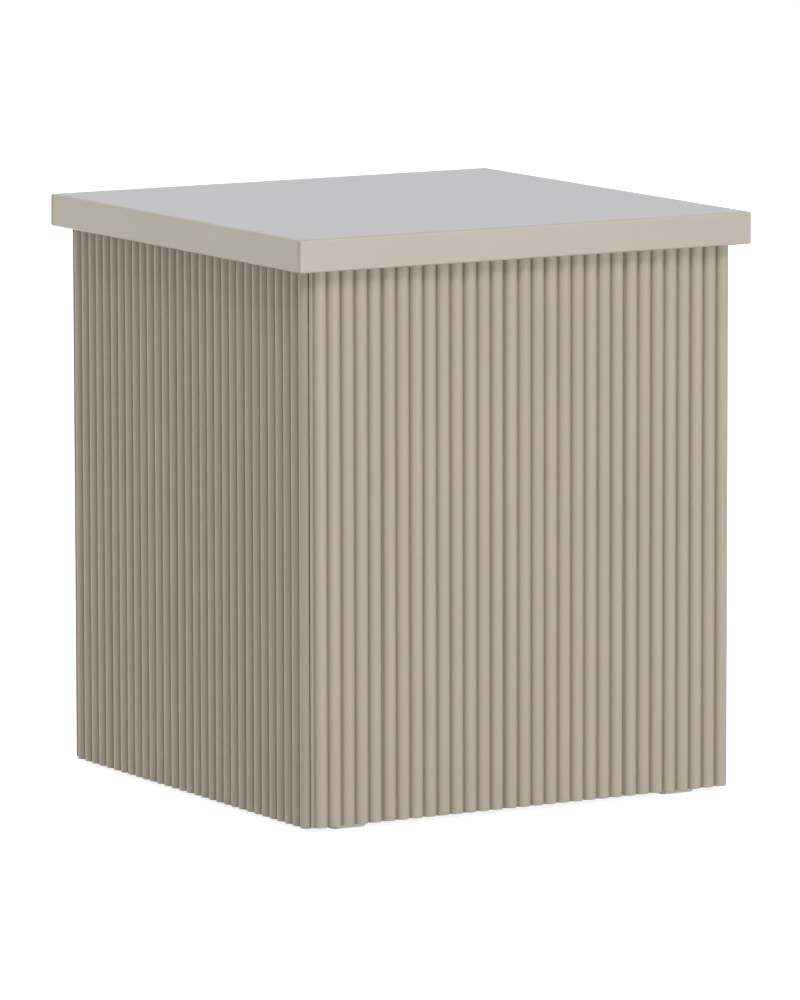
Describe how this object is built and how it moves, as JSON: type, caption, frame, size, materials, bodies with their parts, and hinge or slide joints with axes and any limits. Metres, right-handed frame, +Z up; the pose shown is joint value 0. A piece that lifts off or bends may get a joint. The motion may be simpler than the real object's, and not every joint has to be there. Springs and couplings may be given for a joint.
{
  "type": "square side table",
  "caption": "Square outdoor side table: folded sheet-metal top overhanging a box base clad in fluted planks, on levelling feet.",
  "frame": {"origin": "on the floor, under the middle of the table top", "axes": "+Z up, front face towards -Y, +X to the right as seen from the front"},
  "size_m": [0.45, 0.45, 0.511],
  "materials": {
    "powder_coat": "matte",
    "pad_plastic": "satin",
    "zinc_steel": "satin"
  },
  "bodies": {
    "table": {"top_sheet": "powder_coat", "top_stiffener_front": "powder_coat", "top_stiffener_back": "powder_coat", "corner_post_front_left": "powder_coat", "corner_post_front_right": "powder_coat", "corner_post_back_right": "powder_coat", "corner_post_back_left": "powder_coat", "top_rail_front": "powder_coat", "top_rail_right": "powder_coat", "top_rail_back": "powder_coat", "top_rail_left": "powder_coat", "bottom_rail_front": "powder_coat", "bottom_rail_right": "powder_coat", "bottom_rail_back": "powder_coat", "bottom_rail_left": "powder_coat", "front_plank_1": "powder_coat", "front_plank_2": "powder_coat", "front_plank_3": "powder_coat", "front_plank_4": "powder_coat", "right_plank_1": "powder_coat", "right_plank_2": "powder_coat", "right_plank_3": "powder_coat", "right_plank_4": "powder_coat", "back_plank_1": "powder_coat", "back_plank_2": "powder_coat", "back_plank_3": "powder_coat", "back_plank_4": "powder_coat", "left_plank_1": "powder_coat", "left_plank_2": "powder_coat", "left_plank_3": "powder_coat", "left_plank_4": "powder_coat", "foot_inserts": "zinc_steel"},
    "pad_front_left": {"foot_pad_front_left": "pad_plastic"},
    "stem_front_left": {"foot_stem_front_left": "zinc_steel"},
    "pad_front_right": {"foot_pad_front_right": "pad_plastic"},
    "stem_front_right": {"foot_stem_front_right": "zinc_steel"},
    "pad_back_right": {"foot_pad_back_right": "pad_plastic"},
    "stem_back_right": {"foot_stem_back_right": "zinc_steel"},
    "pad_back_left": {"foot_pad_back_left": "pad_plastic"},
    "stem_back_left": {"foot_stem_back_left": "zinc_steel"}
  },
  "joints": [
    {"name": "foot_height_front_left", "type": "slide", "parent": "table", "child": "pad_front_left", "axis": [0, 0, -1], "range_m": [-0.002, 0.01]},
    {"name": "foot_screw_front_left", "type": "hinge", "parent": "pad_front_left", "child": "stem_front_left", "pos_m": [-0.16585, -0.18725, 0.02], "axis": [0, 0, -1], "range_deg": [-576, 2880]},
    {"name": "foot_height_front_right", "type": "slide", "parent": "table", "child": "pad_front_right", "axis": [0, 0, -1], "range_m": [-0.002, 0.01]},
    {"name": "foot_screw_front_right", "type": "hinge", "parent": "pad_front_right", "child": "stem_front_right", "pos_m": [0.16585, -0.18725, 0.02], "axis": [0, 0, -1], "range_deg": [-576, 2880]},
    {"name": "foot_height_back_right", "type": "slide", "parent": "table", "child": "pad_back_right", "axis": [0, 0, -1], "range_m": [-0.002, 0.01]},
    {"name": "foot_screw_back_right", "type": "hinge", "parent": "pad_back_right", "child": "stem_back_right", "pos_m": [0.16585, 0.18725, 0.02], "axis": [0, 0, -1], "range_deg": [-576, 2880]},
    {"name": "foot_height_back_left", "type": "slide", "parent": "table", "child": "pad_back_left", "axis": [0, 0, -1], "range_m": [-0.002, 0.01]},
    {"name": "foot_screw_back_left", "type": "hinge", "parent": "pad_back_left", "child": "stem_back_left", "pos_m": [-0.16585, 0.18725, 0.02], "axis": [0, 0, -1], "range_deg": [-576, 2880]}
  ],
  "couplings": [
    {"joint": "foot_screw_front_left", "follows": "foot_height_front_left", "rad_per_m": 5026.5},
    {"joint": "foot_screw_front_right", "follows": "foot_height_front_right", "rad_per_m": 5026.5},
    {"joint": "foot_screw_back_right", "follows": "foot_height_back_right", "rad_per_m": 5026.5},
    {"joint": "foot_screw_back_left", "follows": "foot_height_back_left", "rad_per_m": 5026.5}
  ]
}
